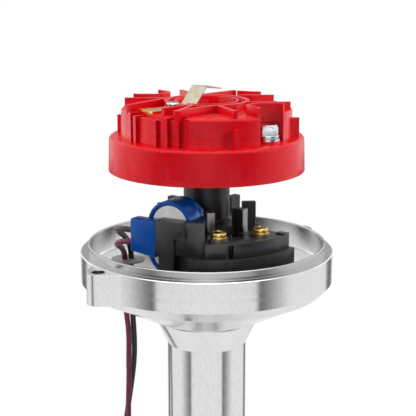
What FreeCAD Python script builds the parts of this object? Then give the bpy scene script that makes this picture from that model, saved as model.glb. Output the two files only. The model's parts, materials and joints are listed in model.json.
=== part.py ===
import FreeCAD, Part
import math
import os

# Ignition distributor for a V8 engine, shown with its cap off.
# Millimetres. Z is the shaft axis, pointing up. Z = 0 is the seat of the hold-down flange on the engine.
# Azimuths are degrees from +X towards +Y. -Y is the side that faces the camera.

V = FreeCAD.Vector
UP = V(0, 0, 1)
NODES = {}

# Fits
RUNNING_GAP = 0.04      # radial clearance of a shaft in a bushing or sleeve
MOVING_GAP = 0.4        # clearance between pieces that move past each other
SCREW_CLEARANCE = 0.3   # radial clearance of a screw in a plain hole

# Housing
RIM_Z = 90.0            # top of the bowl's lip
BOWL_R = 46.7
LIP_R = BOWL_R - 2.8
LIP_WALL = 0.9
LIP_H = 2.94
BOWL_BOTTOM_Z = RIM_Z - 13.87
CHAMFER_R = BOWL_R - 3.23
CHAMFER_Z = RIM_Z - 17.44
DISH_R = BOWL_R - 5.2
DISH_Z = RIM_Z - 18.3
NECK_R = 19.3
NECK_TOP_Z = RIM_Z - 29.4
COLUMN_R = 14.79
COLUMN_TOP_Z = RIM_Z - 38.8
FLOOR_Z = RIM_Z - 9.2
BOWL_INNER_R = LIP_R - LIP_WALL
BOSS_R = 12.0
BOSS_TOP_Z = RIM_Z + 1.0
FLANGE_R = 25.4
FLANGE_H = 8.0
PILOT_R = 15.75
PILOT_LENGTH = 24.0
SHANK_R = 14.0
LAND_R = 15.6
LAND_TOP_Z = -118.0
HOUSING_BOTTOM_Z = -150.0
TUNNEL_R = 7.2
SEAL_GROOVE_Z = -20.6
SEAL_SECTION_R = 1.3
EAR_HOLE_RADIUS = BOWL_R + 2.6  # distance of the cap screw holes from the shaft axis
EAR_TIP_R = 4.2
EAR_HALF_ANGLE = 10.9    # degrees round the bowl from the hole to the foot of a side
EAR_HOLE_R = 2.45
EAR_TOP_Z = RIM_Z - 3.2
EAR_BOTTOM_Z = RIM_Z - 14.4
EAR_AZIMUTH = -139.5

# Shaft, bushings and gear
SHAFT_R = 6.22
BUSHING_R = 8.5
UPPER_BUSHING_LENGTH = 34.0
LOWER_BUSHING_LENGTH = 26.0
THRUST_WASHER_H = 0.9
GEAR_TEETH = 13
GEAR_TIP_R = 15.4
GEAR_ROOT_R = 12.6
GEAR_LENGTH = 26.0
GEAR_TWIST = 92.0       # turn of the helical teeth over the gear's length
GEAR_GAP = 1.2          # room for the shims between housing and gear
GEAR_PIN_R = 2.4
SHAFT_TIP_LENGTH = 6.0
DRIVE_SLOT_WIDTH = 5.0

# Centrifugal advance, on top of the sleeve
SLEEVE_R = 8.5
SLEEVE_FOOT_R = 9.2
SLEEVE_SPIGOT_R = 7.6
SLEEVE_BOTTOM_Z = BOSS_TOP_Z + THRUST_WASHER_H + 0.1
RELUCTOR_TOP_Z = RIM_Z + 8.0
PLATE_H = 2.5
PLATE_TOP_Z = RIM_Z + 36.8
ADVANCE_DEG = 12.0
CAM_R = 12.2
CAM_H = 3.4
CAM_BORE_R = 5.0
CAM_Z = PLATE_TOP_Z + 0.2
STOP_RADIUS = 11.0
STOP_R = 2.3
STOP_AZIMUTH = 145.0
WEIGHT_INNER_R = CAM_R + 0.3
WEIGHT_OUTER_R = 21.5
WEIGHT_H = 4.0
WEIGHT_PIN_R = 2.0
WEIGHT_PIN_AZIMUTH = 105.0
WEIGHT_END_AZIMUTH = 32.0
SPRING_R = 1.5
SPRING_WIRE_R = 0.3
SPRING_Z = PLATE_TOP_Z + 6.4
SPRING_POST_RADIUS = 10.0
SPRING_POST_AZIMUTH = 185.0

# Reluctor and pickup
POST_COUNT = 8
POST_AZIMUTH = -85.0
POST_INNER_R = 13.1
POST_OUTER_R = 18.2
POST_WIDTH = 2.7
POST_TOP_Z = RIM_Z + 14.5
POST_BOTTOM_Z = RIM_Z - 1.0
COIL_AZIMUTH = -119.5
COIL_INNER = 18.9       # distance of the coil's inner face from the shaft axis
COIL_OUTER = 26.7
COIL_HALF_WIDTH = 9.0
COIL_HALF_HEIGHT = 13.55
COIL_Z = RIM_Z + 6.35
COIL_HOOD_LENGTH = 2.8  # overhang of the coil's hood above the reluctor posts
COIL_FRONT = 5.3        # how far the lead block and bracket stand in front of the coil
LEAD_BLOCK_SIDE = 12.9  # sideways distance of the lead block's outer side from the coil's axis
POST_CLEARANCE = 0.6    # from the turning posts to the coil's hood
COIL_WRAP = 1.5
BASE_TOP_Z = RIM_Z + 2.0
BASE_R = 36.2
CLAMP_TOP_Z = RIM_Z + 7.2
CLAMP_R = 34.8
PICKUP_SCREW_RADIUS = 28.6
PICKUP_SCREW_AZIMUTHS = (-81.7, -48.5)
PICKUP_SCREW_R = 1.9

# Rotor
SKIRT_TOP_R = 35.5
SKIRT_R = SKIRT_TOP_R + 0.36
SKIRT_WALL = 2.4
PLATE_R = SKIRT_R - SKIRT_WALL - 0.86
SKIRT_BOTTOM_Z = RIM_Z + 27.3
DECK_Z = RIM_Z + 39.8
TURRET_R = SKIRT_TOP_R - 4.5
TURRET_WALL = 2.4
TURRET_TOP_Z = RIM_Z + 50.0
TURRET_ROOF = 2.5
RIB_TOP_Z = RIM_Z + 52.5
WELL_R = 10.8
WELL_DEPTH = 4.5
POCKET_X = (TURRET_R - 12.5, TURRET_R - 4.2)
POCKET_BACK_Y = -(TURRET_R - 18.0)
POCKET_NOOK_R = 4.9
POCKET_FLOOR_Z = DECK_Z + 0.9
POCKET_RIM_Z = RIM_Z + 53.0
BOLT_X = TURRET_R - 9.7
BOLT_Y = POCKET_BACK_Y - POCKET_NOOK_R
BOLT_R = 2.08
HEX_R = 3.67
PANEL_START = -151.0    # sunk panel in the turret's side, below the tip
PANEL_END = -102.0
TIP_AZIMUTH = -143.0
TIP_LENGTH = 26.9
TIP_HALF_WIDTH = 4.5
TIP_H = 1.0
STRIP_WIDTH = 8.4
STRIP_TAB_WIDTH = 4.4
STRIP_FOLD_Z = RIM_Z + 57.4
STRIP_H = 0.4

# Leads
LEAD_R = 1.05
GROMMET_X = -(BOWL_R - 16.9)
GROMMET_Y = 6.9
GROMMET_R = 6.3
GROMMET_STEM_R = 5.0
GROMMET_H = 0.3


def add(name, shape):
    """Keep a finished piece under its name."""
    NODES[name] = shape.removeSplitter()


def cylinder(r, z0, z1, x=0.0, y=0.0):
    return Part.makeCylinder(r, z1 - z0, V(x, y, z0))


def ring(outer_r, inner_r, z0, z1, x=0.0, y=0.0):
    return cylinder(outer_r, z0, z1, x, y).cut(cylinder(inner_r, z0 - 1, z1 + 1, x, y))


def box(x0, x1, y0, y1, z0, z1):
    return Part.makeBox(x1 - x0, y1 - y0, z1 - z0, V(x0, y0, z0))


def turned(shape, azimuth):
    """The shape turned about the shaft axis."""
    copy = shape.copy()
    copy.rotate(V(0, 0, 0), UP, azimuth)
    return copy


def revolved(points, angle=360.0):
    """Solid of revolution of an outline given as (radius, z) points."""
    face = Part.Face(Part.makePolygon([V(r, 0, z) for r, z in points + points[:1]]))
    return face.revolve(V(0, 0, 0), UP, angle)


def sector(outer_r, inner_r, z0, z1, start, end):
    """Part of a ring between two azimuths."""
    outline = [(inner_r, z0), (outer_r, z0), (outer_r, z1), (inner_r, z1)]
    return turned(revolved(outline, end - start), start)


def prism(points, z0, z1):
    """Straight-sided block on a plan outline."""
    face = Part.Face(Part.makePolygon([V(x, y, z0) for x, y in points + points[:1]]))
    return face.extrude(V(0, 0, z1 - z0))


def bar(start, end, width, z0, z1):
    """Wall of even width between two plan points."""
    dx, dy = end[0] - start[0], end[1] - start[1]
    length = math.hypot(dx, dy)
    wall = box(0, length, -width / 2, width / 2, z0, z1)
    wall.rotate(V(0, 0, 0), UP, math.degrees(math.atan2(dy, dx)))
    wall.translate(V(start[0], start[1], 0))
    return wall


def polar(radius, azimuth):
    a = math.radians(azimuth)
    return radius * math.cos(a), radius * math.sin(a)


def joined(body, pieces):
    """The body with the pieces fused on one after another."""
    for piece in pieces:
        body = body.fuse(piece)
    return body


def without(body, pieces):
    """The body with the pieces cut away one after another."""
    for piece in pieces:
        body = body.cut(piece)
    return body


def opposite(shape):
    """The same shape on the other side of the shaft axis."""
    return turned(shape, 180)


def edges_on(shape, radius, z):
    """Round edges of the given radius and height, centred on the shaft axis."""
    return [
        e for e in shape.Edges
        if hasattr(e.Curve, "Radius") and abs(e.Curve.Radius - radius) < 0.01
        and abs(e.BoundBox.ZMin - z) < 0.01 and abs(e.BoundBox.ZMax - z) < 0.01
    ]


# Housing

def ear():
    """Lug for a cap screw: a round tip about the hole and flat sides, tangent to it, that run to the bowl."""
    foot = V(*polar(BOWL_R, EAR_HALF_ANGLE), 0)
    across = foot.x - EAR_HOLE_RADIUS
    turn = math.atan2(foot.y, across) - math.acos(EAR_TIP_R / math.hypot(across, foot.y))
    corner = V(EAR_HOLE_RADIUS + EAR_TIP_R * math.cos(turn), EAR_TIP_R * math.sin(turn), 0)
    root = foot * 0.93
    tip = V(EAR_HOLE_RADIUS + EAR_TIP_R, 0, 0)

    def low(p):
        return V(p.x, -p.y, 0)

    wire = Part.Wire([
        Part.Arc(low(corner), tip, corner).toShape(),
        Part.makeLine(corner, foot),
        Part.makeLine(foot, root),
        Part.makeLine(root, low(root)),
        Part.makeLine(low(root), low(foot)),
        Part.makeLine(low(foot), low(corner)),
    ])
    lug = Part.Face(wire).extrude(V(0, 0, EAR_TOP_Z - EAR_BOTTOM_Z))
    lug.translate(V(0, 0, EAR_BOTTOM_Z))
    lug = lug.cut(cylinder(BOWL_INNER_R + 1.5, EAR_BOTTOM_Z - 1, EAR_TOP_Z + 1))
    return turned(lug, EAR_AZIMUTH)


def ear_hole():
    x, y = polar(EAR_HOLE_RADIUS, EAR_AZIMUTH)
    return cylinder(EAR_HOLE_R, EAR_BOTTOM_Z - 1, EAR_TOP_Z + 1, x, y)


def housing():
    """Billet body: bowl, neck, column, hold-down flange, pilot and lower land in one piece."""
    half_groove = SEAL_SECTION_R
    seal_r = PILOT_R - 2 * SEAL_SECTION_R
    body = revolved([
        (0, HOUSING_BOTTOM_Z),
        (LAND_R - 1, HOUSING_BOTTOM_Z),
        (LAND_R, HOUSING_BOTTOM_Z + 1),
        (LAND_R, HOUSING_BOTTOM_Z + 11),
        (LAND_R - 1.5, HOUSING_BOTTOM_Z + 12.5),
        (LAND_R - 1.5, HOUSING_BOTTOM_Z + 19.5),
        (LAND_R, HOUSING_BOTTOM_Z + 21),
        (LAND_R, LAND_TOP_Z),
        (SHANK_R, LAND_TOP_Z + 2),
        (SHANK_R, -PILOT_LENGTH - 1.5),
        (PILOT_R, -PILOT_LENGTH),
        (PILOT_R, SEAL_GROOVE_Z - half_groove),
        (seal_r, SEAL_GROOVE_Z - half_groove),
        (seal_r, SEAL_GROOVE_Z + half_groove),
        (PILOT_R, SEAL_GROOVE_Z + half_groove),
        (PILOT_R, 0),
        (FLANGE_R, 0),
        (FLANGE_R, FLANGE_H - 0.8),
        (FLANGE_R - 0.8, FLANGE_H),
        (COLUMN_R + 1.5, FLANGE_H),
        (COLUMN_R, FLANGE_H + 1.5),
        (COLUMN_R, COLUMN_TOP_Z),
        (NECK_R, NECK_TOP_Z),
        (DISH_R, DISH_Z),
        (CHAMFER_R, CHAMFER_Z),
        (BOWL_R, BOWL_BOTTOM_Z),
        (BOWL_R, RIM_Z - LIP_H - 0.3),
        (BOWL_R - 0.3, RIM_Z - LIP_H),
        (LIP_R, RIM_Z - LIP_H),
        (LIP_R, RIM_Z - 0.25),
        (LIP_R - 0.25, RIM_Z),
        (BOWL_INNER_R + 0.2, RIM_Z),
        (BOWL_INNER_R, RIM_Z - 0.2),
        (BOWL_INNER_R, FLOOR_Z + 0.8),
        (BOWL_INNER_R - 0.8, FLOOR_Z),
        (BOSS_R + 0.8, FLOOR_Z),
        (BOSS_R, FLOOR_Z + 0.8),
        (BOSS_R, BOSS_TOP_Z),
        (0, BOSS_TOP_Z),
    ])
    lug = ear()
    body = body.fuse([lug, opposite(lug)])
    hole = ear_hole()
    cuts = [
        hole,
        opposite(hole),
        cylinder(TUNNEL_R, HOUSING_BOTTOM_Z - 1, BOSS_TOP_Z + 1),
        cylinder(BUSHING_R, BOSS_TOP_Z - UPPER_BUSHING_LENGTH, BOSS_TOP_Z + 1),
        cylinder(BUSHING_R, HOUSING_BOTTOM_Z - 1, HOUSING_BOTTOM_Z + LOWER_BUSHING_LENGTH),
        cylinder(GROMMET_STEM_R, DISH_Z - 20, FLOOR_Z + 1, GROMMET_X, GROMMET_Y),
        sector(LIP_R + 1, BOWL_INNER_R - 1, RIM_Z - 1.6, RIM_Z + 1, -3.5, 0.5),
    ]
    for r, z in ((NECK_R, NECK_TOP_Z), (DISH_R, DISH_Z)):
        cuts.append(ring(r + 0.3, r - 0.2, z - 0.25, z + 0.05))
    add("housing", body.cut(cuts))


def bushings():
    bore = SHAFT_R + RUNNING_GAP
    add("upper_bushing", ring(BUSHING_R, bore, BOSS_TOP_Z - UPPER_BUSHING_LENGTH, BOSS_TOP_Z))
    add("lower_bushing", ring(BUSHING_R, bore, HOUSING_BOTTOM_Z, HOUSING_BOTTOM_Z + LOWER_BUSHING_LENGTH))
    add("thrust_washer", ring(SLEEVE_FOOT_R, bore, BOSS_TOP_Z, BOSS_TOP_Z + THRUST_WASHER_H))
    seal = Part.makeTorus(PILOT_R - SEAL_SECTION_R, SEAL_SECTION_R, V(0, 0, SEAL_GROOVE_Z), UP)
    add("seal_ring", seal)


# Shaft and gear

def gear_outline(turn, z):
    """Closed outline of the teeth, four points a tooth, turned and raised."""
    points = []
    pitch = 360.0 / GEAR_TEETH
    for tooth in range(GEAR_TEETH):
        for share, r in ((0.0, GEAR_ROOT_R), (0.28, GEAR_TIP_R), (0.52, GEAR_TIP_R), (0.8, GEAR_ROOT_R)):
            x, y = polar(r, turn + pitch * (tooth + share))
            points.append(V(x, y, z))
    return Part.makePolygon(points + points[:1])


def gear():
    """Helical drive gear pinned to the shaft, with plain hubs above and below the teeth."""
    top = HOUSING_BOTTOM_Z - GEAR_GAP
    bottom = top - GEAR_LENGTH
    steps = 8
    sections = [
        gear_outline(GEAR_TWIST * i / steps, bottom + 4 + (GEAR_LENGTH - 8) * i / steps)
        for i in range(steps + 1)
    ]
    teeth = Part.makeLoft(sections, True, True)
    hubs = [cylinder(GEAR_ROOT_R - 1.5, top - 4, top), cylinder(GEAR_ROOT_R - 1.5, bottom, bottom + 4)]
    body = teeth.fuse(hubs).cut(cylinder(SHAFT_R, bottom - 1, top + 1))
    pin_z = bottom + GEAR_PIN_R + 1.0
    pin_length = 2 * (GEAR_ROOT_R - 1.5)
    pin_hole = Part.makeCylinder(GEAR_PIN_R, pin_length + 6, V(-pin_length / 2 - 3, 0, pin_z), V(1, 0, 0))
    add("drive_gear", body.cut(pin_hole))
    pin = Part.makeCylinder(GEAR_PIN_R, pin_length, V(-pin_length / 2, 0, pin_z), V(1, 0, 0))
    slit = box(-pin_length, pin_length, -0.35, 0.35, pin_z, pin_z + GEAR_PIN_R + 1)
    pin_bore = Part.makeCylinder(1.4, pin_length + 2, V(-pin_length / 2 - 1, 0, pin_z), V(1, 0, 0))
    add("gear_pin", pin.cut([pin_bore, slit]))
    add("gear_shims", ring(SHAFT_R + 4.5, SHAFT_R + RUNNING_GAP, top + 0.05, HOUSING_BOTTOM_Z - 0.05))
    return bottom, pin_hole


def shaft(gear_bottom, pin_hole):
    """Main shaft from the oil pump drive slot up to the spigot that carries the cam."""
    bottom = gear_bottom - SHAFT_TIP_LENGTH
    rod = revolved([
        (0, bottom),
        (SHAFT_R - 1.2, bottom),
        (SHAFT_R, bottom + 1.2),
        (SHAFT_R, CAM_Z),
        (CAM_BORE_R, CAM_Z),
        (CAM_BORE_R, CAM_Z + CAM_H + 1.2),
        (CAM_BORE_R - 0.6, CAM_Z + CAM_H + 1.8),
        (0, CAM_Z + CAM_H + 1.8),
    ])
    slot = box(-SHAFT_R - 1, SHAFT_R + 1, -DRIVE_SLOT_WIDTH / 2, DRIVE_SLOT_WIDTH / 2, bottom - 1, bottom + 4.5)
    clip_groove = ring(CAM_BORE_R + 1, CAM_BORE_R - 0.5, CAM_Z + CAM_H, CAM_Z + CAM_H + 0.8)
    add("main_shaft", rod.cut([slot, pin_hole, clip_groove]))
    clip = ring(CAM_BORE_R + 1.3, CAM_BORE_R - 0.5, CAM_Z + CAM_H, CAM_Z + CAM_H + 0.8)
    add("cam_clip", clip.cut(box(-10, 0, -1.6, 1.6, CAM_Z + CAM_H - 1, CAM_Z + CAM_H + 2)))


# Centrifugal advance

def cam():
    """Disc on the shaft that the weights push round, with a notch for the advance stop."""
    disc = ring(CAM_R, CAM_BORE_R, CAM_Z, CAM_Z + CAM_H)
    room = STOP_R + 0.12
    notch = [sector(CAM_R + 3, STOP_RADIUS - room, CAM_Z - 1, CAM_Z + CAM_H + 1,
                    STOP_AZIMUTH - ADVANCE_DEG, STOP_AZIMUTH)]
    for azimuth in (STOP_AZIMUTH - ADVANCE_DEG, STOP_AZIMUTH):
        end = cylinder(room, CAM_Z - 1, CAM_Z + CAM_H + 1, STOP_RADIUS, 0)
        mouth = box(STOP_RADIUS, CAM_R + 3, -room, room, CAM_Z - 1, CAM_Z + CAM_H + 1)
        notch += [turned(end, azimuth), turned(mouth, azimuth)]
    lightening = [turned(cylinder(1.6, CAM_Z - 1, CAM_Z + CAM_H + 1, 8.6, 0), a) for a in (65, 245, 325)]
    posts = []
    for side in (0, 180):
        x, y = polar(SPRING_POST_RADIUS, SPRING_POST_AZIMUTH + side)
        posts.append(cylinder(1.1, CAM_Z + CAM_H - 1, SPRING_Z + 1.2, x, y))
        posts.append(cylinder(1.5, SPRING_Z + 0.7, SPRING_Z + 1.2, x, y))
    add("advance_cam", disc.cut(notch + lightening).fuse(posts))


def sleeve():
    """Tube round the shaft that carries the reluctor at its foot and the advance plate on top."""
    plate_bottom = PLATE_TOP_Z - PLATE_H
    tube = revolved([
        (SHAFT_R + RUNNING_GAP, SLEEVE_BOTTOM_Z),
        (SLEEVE_SPIGOT_R, SLEEVE_BOTTOM_Z),
        (SLEEVE_SPIGOT_R, RELUCTOR_TOP_Z),
        (SLEEVE_FOOT_R, RELUCTOR_TOP_Z),
        (SLEEVE_FOOT_R, RELUCTOR_TOP_Z + 0.8),
        (SLEEVE_R, RELUCTOR_TOP_Z + 1.5),
        (SLEEVE_R, plate_bottom),
        (SLEEVE_SPIGOT_R, plate_bottom),
        (SLEEVE_SPIGOT_R, PLATE_TOP_Z),
        (SHAFT_R + RUNNING_GAP, PLATE_TOP_Z),
    ])
    add("sleeve", tube)


def advance_plate():
    """Steel plate that carries the weight pins, the stop and the rotor."""
    z0 = PLATE_TOP_Z - PLATE_H
    plate = ring(PLATE_R, SLEEVE_SPIGOT_R, z0, PLATE_TOP_Z)
    cuts = []
    for side in (0, 180):
        x, y = polar(17.0, WEIGHT_PIN_AZIMUTH + side)
        cuts.append(cylinder(WEIGHT_PIN_R, z0 - 1, PLATE_TOP_Z + 1, x, y))
        x, y = polar(19.0, 65 + side)
        cuts.append(cylinder(4.0, z0 - 1, PLATE_TOP_Z + 1, x, y))
    cuts.append(cylinder(BOLT_R, z0 - 1, PLATE_TOP_Z + 1, BOLT_X, BOLT_Y))
    cuts.append(cylinder(BOLT_R, z0 - 1, PLATE_TOP_Z + 1, -BOLT_X, -BOLT_Y))
    x, y = polar(STOP_RADIUS, STOP_AZIMUTH)
    cuts.append(cylinder(1.3, z0 - 1, PLATE_TOP_Z + 1, x, y))
    add("advance_plate", plate.cut(cuts))
    stud = cylinder(1.3, z0 - 1.0, CAM_Z + CAM_H, x, y)
    head = cylinder(2.2, z0 - 1.6, z0, x, y)
    add("stop_stud", stud.fuse(head))
    add("stop_bushing", ring(STOP_R, 1.3, PLATE_TOP_Z, CAM_Z + CAM_H - 0.2, x, y))


def weight():
    """Kidney-shaped weight: a thick arc bar round the cam, pierced for its pivot pin at one end."""
    z0 = PLATE_TOP_Z + 0.15
    z1 = z0 + WEIGHT_H
    middle = (WEIGHT_INNER_R + WEIGHT_OUTER_R) / 2
    half = (WEIGHT_OUTER_R - WEIGHT_INNER_R) / 2
    body = sector(WEIGHT_OUTER_R, WEIGHT_INNER_R, z0, z1, WEIGHT_END_AZIMUTH, WEIGHT_PIN_AZIMUTH)
    ends = [cylinder(half, z0, z1, *polar(middle, a)) for a in (WEIGHT_END_AZIMUTH, WEIGHT_PIN_AZIMUTH)]
    body = body.fuse(ends)
    hole = cylinder(WEIGHT_PIN_R + RUNNING_GAP, z0 - 1, z1 + 1, *polar(17.0, WEIGHT_PIN_AZIMUTH))
    return body.cut(hole)


def weight_pin():
    x, y = polar(17.0, WEIGHT_PIN_AZIMUTH)
    pin = cylinder(WEIGHT_PIN_R, PLATE_TOP_Z - PLATE_H - 0.6, SPRING_Z - 1.2, x, y)
    neck = cylinder(1.1, SPRING_Z - 1.3, SPRING_Z + 1.2, x, y)
    head = cylinder(1.5, SPRING_Z + 0.7, SPRING_Z + 1.2, x, y)
    foot = cylinder(WEIGHT_PIN_R + 0.7, PLATE_TOP_Z - PLATE_H - 0.8, PLATE_TOP_Z - PLATE_H, x, y)
    return pin.fuse([neck, head, foot])


def advance_spring():
    """Tension spring between a weight pin and a cam post: a coiled barrel with a loop at each end."""
    start = V(*polar(17.0, WEIGHT_PIN_AZIMUTH), SPRING_Z)
    end = V(*polar(SPRING_POST_RADIUS, SPRING_POST_AZIMUTH), SPRING_Z)
    along = (end - start).normalize()
    span = (end - start).Length
    loop_r = 1.1 + SPRING_WIRE_R
    loops = [Part.makeTorus(loop_r, SPRING_WIRE_R, p, UP) for p in (start, end)]
    first = loop_r + 1.2
    last = span - loop_r - 1.2
    coils = 9
    step = (last - first) / coils
    outline = [(0, 0)]
    for i in range(coils):
        outline += [(SPRING_R - SPRING_WIRE_R, step * i), (SPRING_R, step * (i + 0.3)),
                    (SPRING_R, step * (i + 0.7))]
    outline += [(SPRING_R - SPRING_WIRE_R, step * coils), (0, step * coils)]
    barrel = revolved(outline)
    barrel.rotate(V(0, 0, 0), V(0, 1, 0), 90)
    barrel.rotate(V(0, 0, 0), UP, math.degrees(math.atan2(along.y, along.x)))
    barrel.translate(start + along * first)
    hooks = [
        Part.makeCylinder(SPRING_WIRE_R, 1.6, start + along * (loop_r - 0.1), along),
        Part.makeCylinder(SPRING_WIRE_R, 1.6, end - along * (loop_r - 0.1), along * -1),
    ]
    return barrel.fuse(hooks + loops)


def advance():
    cam()
    sleeve()
    advance_plate()
    first = weight()
    add("weight_1", first)
    add("weight_2", opposite(first))
    pin = weight_pin()
    add("weight_pin_1", pin)
    add("weight_pin_2", opposite(pin))
    spring = advance_spring()
    add("advance_spring_1", spring)
    add("advance_spring_2", opposite(spring))


# Reluctor and pickup

def reluctor():
    """Eight upright posts on a web, one for each cylinder."""
    web = ring(POST_INNER_R + 1.5, SLEEVE_SPIGOT_R, RELUCTOR_TOP_Z - 3.0, RELUCTOR_TOP_Z)
    post = box(POST_INNER_R, POST_OUTER_R, -POST_WIDTH / 2, POST_WIDTH / 2, POST_BOTTOM_Z, POST_TOP_Z)
    post = post.common(cylinder(POST_OUTER_R, POST_BOTTOM_Z, POST_TOP_Z))
    posts = [turned(post, POST_AZIMUTH + 360.0 / POST_COUNT * i) for i in range(POST_COUNT)]
    add("reluctor", web.fuse(posts))


def coil_block(near, far, inset=0.0):
    """Racetrack-shaped block lying along the coil's axis, between two distances from the shaft."""
    half = COIL_HALF_WIDTH - inset
    straight = COIL_HALF_HEIGHT - COIL_HALF_WIDTH
    core = box(near, far, -half, half, COIL_Z - straight, COIL_Z + straight)
    ends = [
        Part.makeCylinder(half, far - near, V(near, 0, COIL_Z + side * straight), V(1, 0, 0))
        for side in (-1, 1)
    ]
    return turned(core.fuse(ends), COIL_AZIMUTH)


def in_coil_frame(near, far, left, right, z0, z1):
    """Box in the coil's own frame: distance from the shaft, then sideways, clockwise negative."""
    return turned(box(near, far, left, right, z0, z1), COIL_AZIMUTH)


def coil():
    """Pickup coil: bobbin, blue outer wrap, steel pole piece and the magnet behind it."""
    pole = in_coil_frame(COIL_INNER - 0.2, COIL_OUTER - 3.0, -2.5, 2.5, COIL_Z - 6, COIL_Z + 6)
    magnet = in_coil_frame(COIL_OUTER - 3.0, COIL_OUTER - 1.2, -4.0, 4.0, COIL_Z - 6, COIL_Z + 6)
    wrap = coil_block(COIL_INNER, COIL_OUTER).cut(coil_block(COIL_INNER - 1, COIL_OUTER + 1, COIL_WRAP))
    add("coil_wrap", wrap)
    add("coil_bobbin", coil_block(COIL_INNER + 0.4, COIL_OUTER - 0.5, COIL_WRAP).cut([pole, magnet]))
    add("pole_piece", pole)
    add("magnet", magnet)
    near = COIL_INNER - COIL_HOOD_LENGTH
    hood = coil_block(near, COIL_INNER).cut(coil_block(near - 1, COIL_INNER + 1, COIL_WRAP))
    posts = cylinder(POST_OUTER_R + POST_CLEARANCE, RIM_Z - 20, POST_TOP_Z + POST_CLEARANCE)
    add("coil_hood", hood.cut(posts).common(cylinder(40, RIM_Z + 10.0, RIM_Z + 26)))
    top, left, right = RIM_Z + 13.5, -LEAD_BLOCK_SIDE, -2.4
    outline = [V(COIL_OUTER, side, z) for side, z in ((left, top), (left, RIM_Z + 1.6), (right, RIM_Z + 0.3),
                                                      (right, top), (left, top))]
    block = Part.Face(Part.makePolygon(outline)).extrude(V(COIL_FRONT, 0, 0))
    add("lead_block", turned(block, COIL_AZIMUTH))


def pickup_screw(azimuth, index):
    """Pan head cross-recess screw with its captive split and flat washers."""
    x, y = polar(PICKUP_SCREW_RADIUS, azimuth)
    z = CLAMP_TOP_Z
    add("pickup_washer_%d" % index, ring(3.6, PICKUP_SCREW_R, z, z + 0.6, x, y))
    split = ring(3.0, PICKUP_SCREW_R, z + 0.6, z + 1.5, x, y)
    gap = bar((x, y), (x + 4, y - 2), 0.5, z, z + 2)
    add("pickup_lock_washer_%d" % index, split.cut(gap))
    head_z = z + 1.5
    head = cylinder(2.8, head_z, head_z + 1.9, x, y)
    head = head.makeFillet(1.0, [e for e in head.Edges if abs(e.BoundBox.ZMin - head_z - 1.9) < 0.01])
    cross = [bar((x - 1.3, y), (x + 1.3, y), 0.6, head_z + 0.9, head_z + 3),
             bar((x, y - 1.3), (x, y + 1.3), 0.6, head_z + 0.9, head_z + 3)]
    shank = cylinder(PICKUP_SCREW_R, FLOOR_Z + 2, head_z + 0.5, x, y)
    add("pickup_screw_%d" % index, head.cut(cross).fuse(shank))


def pickup():
    """Moulded base on the bowl floor, clamp above it and the bracket that holds the coil."""
    room = coil_block(COIL_INNER - 3, COIL_OUTER + 0.05)
    shanks = [cylinder(PICKUP_SCREW_R, FLOOR_Z + 2, CLAMP_TOP_Z + 1, *polar(PICKUP_SCREW_RADIUS, a))
              for a in PICKUP_SCREW_AZIMUTHS]
    base = sector(BASE_R, 20.0, FLOOR_Z, BASE_TOP_Z, -122.0, -30.0)
    outside = box(-60, -6.9, -60, -20, FLOOR_Z - 1, BASE_TOP_Z + 1)
    web = in_coil_frame(COIL_OUTER, COIL_OUTER + 2.0, 4.5, 12.0, FLOOR_Z, BASE_TOP_Z + 1)
    base = base.cut([room, outside, web] + shanks)
    band = in_coil_frame(COIL_OUTER, COIL_OUTER + COIL_FRONT, -2.4, 11.0, BASE_TOP_Z, RIM_Z + 14.0)
    leg = in_coil_frame(COIL_OUTER, COIL_OUTER + COIL_FRONT, -1.2, 5.0, FLOOR_Z, BASE_TOP_Z + 1)
    side = box(-7.4, -0.6, -31.0, -19.2, BASE_TOP_Z, RIM_Z + 13.9)
    before_side = box(-7.4, 5, -45, -31.0, FLOOR_Z - 1, RIM_Z + 20)
    recess = in_coil_frame(COIL_OUTER + COIL_FRONT - 1.4, COIL_OUTER + 9, 5.0, 12.0, FLOOR_Z - 1, RIM_Z + 8.0)
    bracket = joined(band, [leg, web, side])
    add("coil_bracket", without(bracket, [room, before_side, recess]))
    clamp = sector(CLAMP_R, 21.0, BASE_TOP_Z, CLAMP_TOP_Z, -91.0, -32.5)
    clamp = clamp.fuse(sector(CLAMP_R, 31.0, CLAMP_TOP_Z - 1, CLAMP_TOP_Z + 0.5, -37.5, -32.5))
    groove = sector(CLAMP_R + 1, CLAMP_R - 2.2, BASE_TOP_Z, CLAMP_TOP_Z - 0.6, -77.5, -74.5)
    relief = sector(26.0, 20.0, CLAMP_TOP_Z - 1.2, CLAMP_TOP_Z + 1, -72.0, -58.0)
    add("pickup_clamp", clamp.cut([side, groove, relief] + shanks))
    add("pickup_base", base)
    for index, azimuth in enumerate(PICKUP_SCREW_AZIMUTHS):
        pickup_screw(azimuth, index + 1)


# Rotor

def pocket(wall, z0, z1):
    """Outline block of the right-hand bolt pocket, grown by the given wall: open to the front, with a
    round nook at its inner end."""
    main = box(POCKET_X[0] - wall, POCKET_X[1] + wall, -40, POCKET_BACK_Y + wall, z0, z1)
    nook = cylinder(POCKET_NOOK_R + wall, z0, z1, BOLT_X - 1.6, BOLT_Y)
    return main.fuse(nook)


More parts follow.
